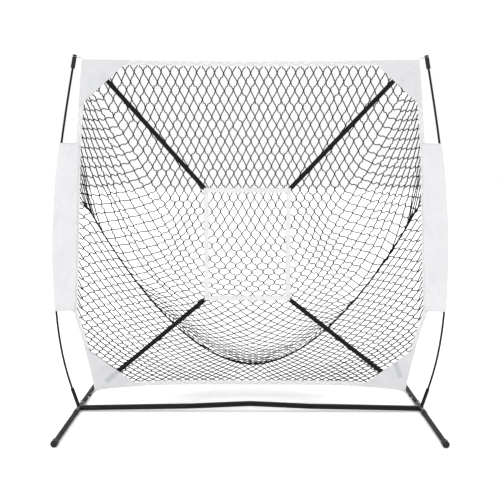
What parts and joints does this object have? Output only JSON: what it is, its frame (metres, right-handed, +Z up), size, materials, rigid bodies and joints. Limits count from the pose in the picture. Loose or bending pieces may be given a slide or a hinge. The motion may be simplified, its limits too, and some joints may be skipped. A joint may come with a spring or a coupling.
{
  "type": "pitching target net",
  "caption": "Free-standing bow-frame pitching target: a deep pocket net in a white hem between two bent poles, with a webbing strike zone held by corner straps.",
  "frame": {"origin": "on the ground, under the middle of the net and midway between the ends of the legs", "axes": "+Z up, +X to the right of the thrower, -Y towards the thrower; the pocket hangs back towards +Y"},
  "size_m": [1.7316, 0.914, 1.5565],
  "materials": {
    "powder_coated_steel": "gloss black powder coat",
    "black_moulding": "satin black moulding",
    "button_steel": "bright plated",
    "spring_steel": "plain spring strip",
    "fibreglass": "smooth black pultruded rod",
    "ferrule_aluminium": "plain drawn tube",
    "white_fabric": "thin white coated weave",
    "white_webbing": "white woven webbing",
    "black_webbing": "black woven webbing",
    "net_cord": "black knotted twine",
    "black_elastic": "braided elastic cord",
    "white_cord": "thin braided cord"
  },
  "bodies": {
    "target": {"bottom_hem": "white_fabric", "bottom_left_patch": "white_fabric", "bottom_left_strap": "black_webbing", "bottom_right_patch": "white_fabric", "bottom_right_strap": "black_webbing", "center_crossbar": "powder_coated_steel", "front_left_button_spring": "spring_steel", "front_left_foot_cap": "black_moulding", "front_left_leg": "powder_coated_steel", "front_right_button_spring": "spring_steel", "front_right_foot_cap": "black_moulding", "front_right_leg": "powder_coated_steel", "left_base_weldment": "powder_coated_steel", "left_cap_loop": "white_cord", "left_corner_elastic": "black_elastic", "left_corner_hook": "black_moulding", "left_elastic_crimp": "button_steel", "left_hem": "white_fabric", "left_hem_loop": "white_cord", "left_lower_ferrule": "ferrule_aluminium", "left_lower_pole": "fibreglass", "left_middle_pole": "fibreglass", "left_pole_sleeve": "white_fabric", "left_top_cap": "black_moulding", "left_upper_ferrule": "ferrule_aluminium", "left_upper_pole": "fibreglass", "pocket_net": "net_cord", "rear_left_button_spring": "spring_steel", "rear_left_foot_cap": "black_moulding", "rear_left_leg": "powder_coated_steel", "rear_right_button_spring": "spring_steel", "rear_right_foot_cap": "black_moulding", "rear_right_leg": "powder_coated_steel", "right_base_weldment": "powder_coated_steel", "right_cap_loop": "white_cord", "right_corner_elastic": "black_elastic", "right_corner_hook": "black_moulding", "right_elastic_crimp": "button_steel", "right_hem": "white_fabric", "right_hem_loop": "white_cord", "right_lower_ferrule": "ferrule_aluminium", "right_lower_pole": "fibreglass", "right_middle_pole": "fibreglass", "right_pole_sleeve": "white_fabric", "right_top_cap": "black_moulding", "right_upper_ferrule": "ferrule_aluminium", "right_upper_pole": "fibreglass", "top_hem": "white_fabric", "top_left_patch": "white_fabric", "top_left_strap": "black_webbing", "top_right_patch": "white_fabric", "top_right_strap": "black_webbing", "zone_bottom_webbing": "white_webbing", "zone_left_webbing": "white_webbing", "zone_right_webbing": "white_webbing", "zone_top_webbing": "white_webbing"},
    "front_left_button": {"front_left_snap_button": "button_steel"},
    "front_right_button": {"front_right_snap_button": "button_steel"},
    "rear_left_button": {"rear_left_snap_button": "button_steel"},
    "rear_right_button": {"rear_right_snap_button": "button_steel"}
  },
  "joints": [
    {"name": "front_left_button_press", "type": "slide", "parent": "target", "child": "front_left_button", "axis": [0, 0, -1], "range_m": [0, 0.0045], "stiffness_N_per_m": 800, "springref_m": -0.002, "deforming": ["front_left_button_spring"]},
    {"name": "front_right_button_press", "type": "slide", "parent": "target", "child": "front_right_button", "axis": [0, 0, -1], "range_m": [0, 0.0045], "stiffness_N_per_m": 800, "springref_m": -0.002, "deforming": ["front_right_button_spring"]},
    {"name": "rear_left_button_press", "type": "slide", "parent": "target", "child": "rear_left_button", "axis": [0, 0, -1], "range_m": [0, 0.0045], "stiffness_N_per_m": 800, "springref_m": -0.002, "deforming": ["rear_left_button_spring"]},
    {"name": "rear_right_button_press", "type": "slide", "parent": "target", "child": "rear_right_button", "axis": [0, 0, -1], "range_m": [0, 0.0045], "stiffness_N_per_m": 800, "springref_m": -0.002, "deforming": ["rear_right_button_spring"]}
  ]
}
